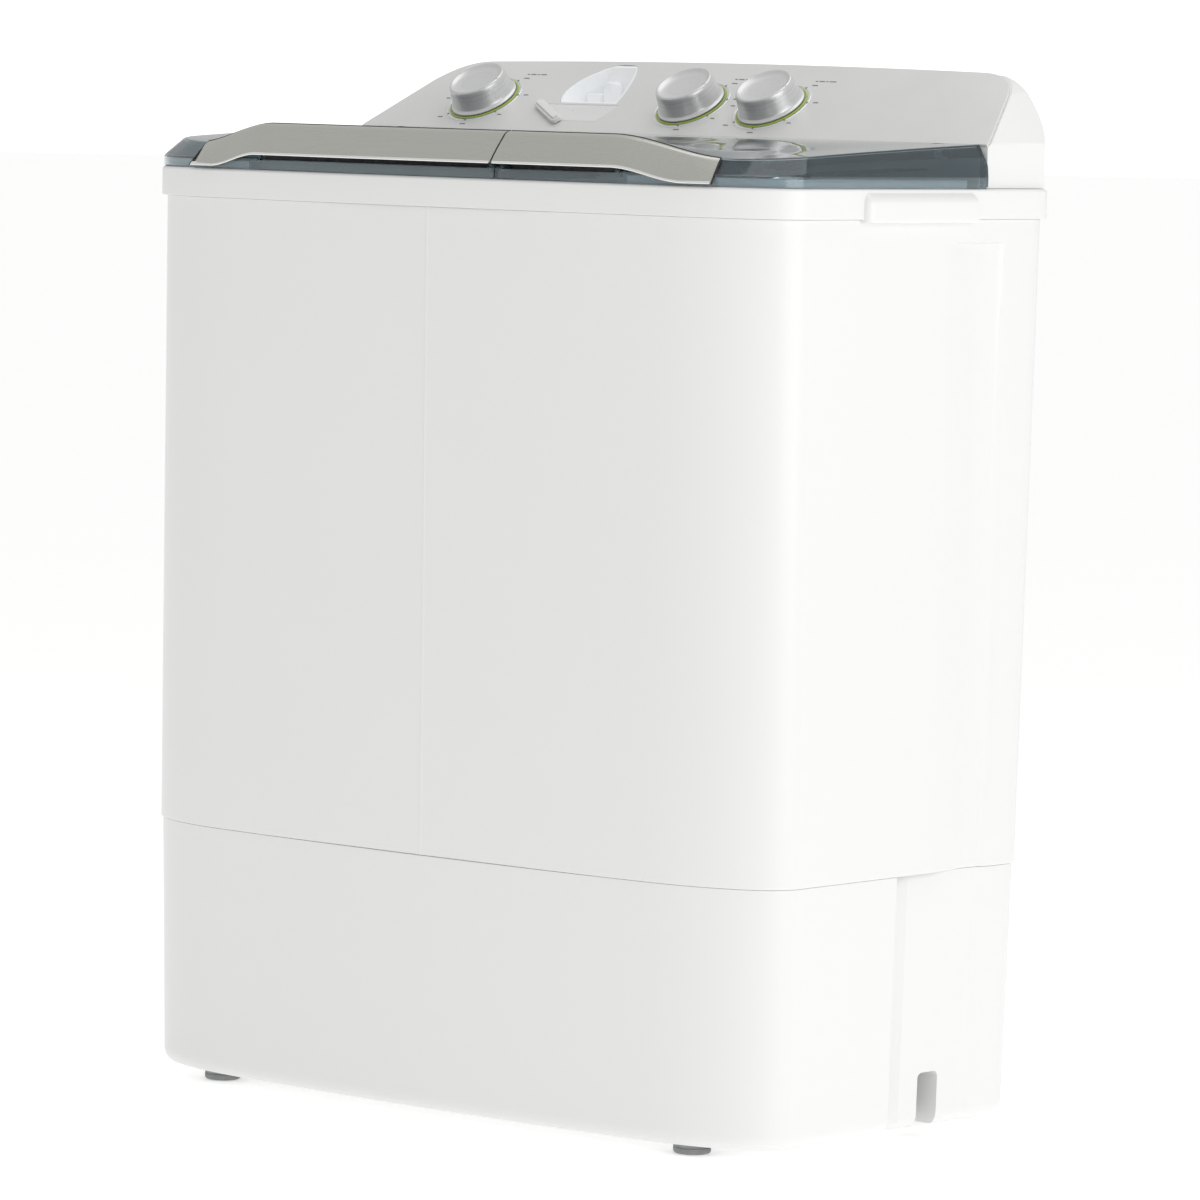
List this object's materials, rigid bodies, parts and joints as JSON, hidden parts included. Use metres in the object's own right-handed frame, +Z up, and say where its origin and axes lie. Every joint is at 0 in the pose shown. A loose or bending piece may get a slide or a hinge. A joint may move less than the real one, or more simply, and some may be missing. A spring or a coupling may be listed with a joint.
{
  "type": "twin tub washer",
  "caption": "White twin tub washing machine with a wash tub and a spin tub under tinted hinged lids, and a sloping silver console with turning knobs and a water inlet.",
  "frame": {"origin": "middle of the cabinet on the floor, between the feet", "axes": "+Z up, front towards -Y, spin tub towards +X"},
  "size_m": [0.816, 0.4567, 0.9949],
  "materials": {
    "cabinet_white": "glossy moulded white",
    "fascia_silver": "silver-grey painted plastic, satin",
    "lid_tint": "clear tinted blue-grey, polished",
    "handle_brushed": "brushed silver with a bright lip",
    "knob_silver": "metallic grey, satin",
    "dial_green": "yellow-green",
    "tub_white": "smooth white",
    "pale_blue_plastic": "pale blue",
    "steel": "turned steel",
    "black_enamel": "black enamel",
    "black_rubber": "matt",
    "foot_rubber": "grey, matt",
    "grey_plastic": "matt grey",
    "zinc_steel": "zinc-plated sheet"
  },
  "bodies": {
    "cabinet": {"base_shell": "cabinet_white", "cabinet_shell": "cabinet_white", "top_deck": "cabinet_white", "foot_front_left": "foot_rubber", "foot_front_right": "foot_rubber", "foot_rear_left": "foot_rubber", "foot_rear_right": "foot_rubber", "rear_cover": "zinc_steel", "rear_cover_screw_1": "steel", "rear_cover_screw_2": "steel", "rear_cover_screw_3": "steel", "rear_cover_screw_4": "steel", "cord_inlet_gland": "black_rubber", "control_panel": "fascia_silver", "inlet_funnel": "pale_blue_plastic", "dial_ring_wash_timer": "dial_green", "dial_ring_selector": "dial_green", "dial_ring_spin_timer": "dial_green", "wash_timer": "grey_plastic", "selector_switch": "grey_plastic", "spin_timer": "grey_plastic", "console_housing": "cabinet_white", "wash_lid_hinge_pin_left": "steel", "wash_lid_hinge_pin_right": "steel", "spin_lid_hinge_pin_left": "steel", "spin_lid_hinge_pin_right": "steel", "wash_tub": "tub_white", "pulsator_bearing_sleeve": "zinc_steel", "wash_drive_frame": "zinc_steel", "wash_motor": "black_enamel", "drive_belt": "black_rubber", "drain_valve_body": "grey_plastic", "drain_pipe": "grey_plastic", "overflow_cover": "pale_blue_plastic", "spin_outer_tub": "tub_white", "spin_shaft_seal": "black_rubber", "brake_bracket": "zinc_steel", "spin_motor": "black_enamel", "spin_motor_mount_1": "black_rubber", "spin_motor_mount_2": "black_rubber", "spin_motor_mount_3": "black_rubber", "motor_capacitor": "grey_plastic"},
    "wash_lid": {"wash_lid": "lid_tint", "wash_lid_handle": "handle_brushed"},
    "spin_lid": {"spin_lid": "lid_tint", "spin_lid_handle": "handle_brushed"},
    "wash_timer_knob": {"knob_wash_timer": "knob_silver"},
    "selector_knob": {"knob_selector": "knob_silver"},
    "spin_timer_knob": {"knob_spin_timer": "knob_silver"},
    "inlet_diverter": {"inlet_diverter": "cabinet_white"},
    "pulsator": {"pulsator": "pale_blue_plastic", "driven_pulley": "grey_plastic"},
    "wash_motor_rotor": {"motor_pulley": "zinc_steel"},
    "spin_basket": {"spin_basket": "pale_blue_plastic", "spin_shaft": "steel", "brake_drum": "zinc_steel", "basket_press_plate": "pale_blue_plastic"},
    "brake_lever": {"brake_lever": "zinc_steel"},
    "drain_plug": {"drain_valve_plug": "black_rubber"}
  },
  "joints": [
    {"name": "wash_lid_hinge", "type": "hinge", "parent": "cabinet", "child": "wash_lid", "pos_m": [-0.15, 0.1085, 0.9185], "axis": [-1, 0, 0], "range_deg": [0, 95]},
    {"name": "spin_lid_hinge", "type": "hinge", "parent": "cabinet", "child": "spin_lid", "pos_m": [0.24, 0.1085, 0.9185], "axis": [-1, 0, 0], "range_deg": [0, 95]},
    {"name": "wash_timer_turn", "type": "hinge", "parent": "cabinet", "child": "wash_timer_knob", "pos_m": [-0.269, 0.16145, 0.95387], "axis": [0, -0.5446, 0.8387], "range_deg": [-300, 0]},
    {"name": "selector_turn", "type": "hinge", "parent": "cabinet", "child": "selector_knob", "pos_m": [-0.001, 0.16145, 0.95387], "axis": [0, -0.5446, 0.8387], "range_deg": [-90, 0]},
    {"name": "spin_timer_turn", "type": "hinge", "parent": "cabinet", "child": "spin_timer_knob", "pos_m": [0.099, 0.16145, 0.95387], "axis": [0, -0.5446, 0.8387], "range_deg": [-300, 0]},
    {"name": "inlet_diverter_swing", "type": "hinge", "parent": "cabinet", "child": "inlet_diverter", "pos_m": [-0.149, 0.1321, 0.9348], "axis": [0, -0.5446, 0.8387], "range_deg": [-110, 0]},
    {"name": "pulsator_spin", "type": "hinge", "parent": "cabinet", "child": "pulsator", "pos_m": [-0.155, -0.046, 0.44], "axis": [0, 0, 1], "continuous": true},
    {"name": "wash_motor_spin", "type": "hinge", "parent": "cabinet", "child": "wash_motor_rotor", "pos_m": [-0.285, 0.092, 0.31], "axis": [0, 0, 1], "continuous": true},
    {"name": "spin_basket_spin", "type": "hinge", "parent": "cabinet", "child": "spin_basket", "pos_m": [0.238, -0.046, 0.5], "axis": [0, 0, 1], "continuous": true},
    {"name": "brake_lever_swing", "type": "hinge", "parent": "cabinet", "child": "brake_lever", "pos_m": [0.295, 0.016, 0.274], "axis": [0, 0, -1], "range_deg": [0, 3]},
    {"name": "drain_valve_lift", "type": "slide", "parent": "cabinet", "child": "drain_plug", "axis": [0, 0, 1], "range_m": [0, 0.01]}
  ],
  "couplings": [
    {"joint": "wash_motor_spin", "follows": "pulsator_spin", "ratio": 3.0345},
    {"joint": "brake_lever_swing", "follows": "spin_lid_hinge", "ratio": 0.031578},
    {"joint": "drain_valve_lift", "follows": "selector_turn", "m_per_rad": -0.006365}
  ]
}
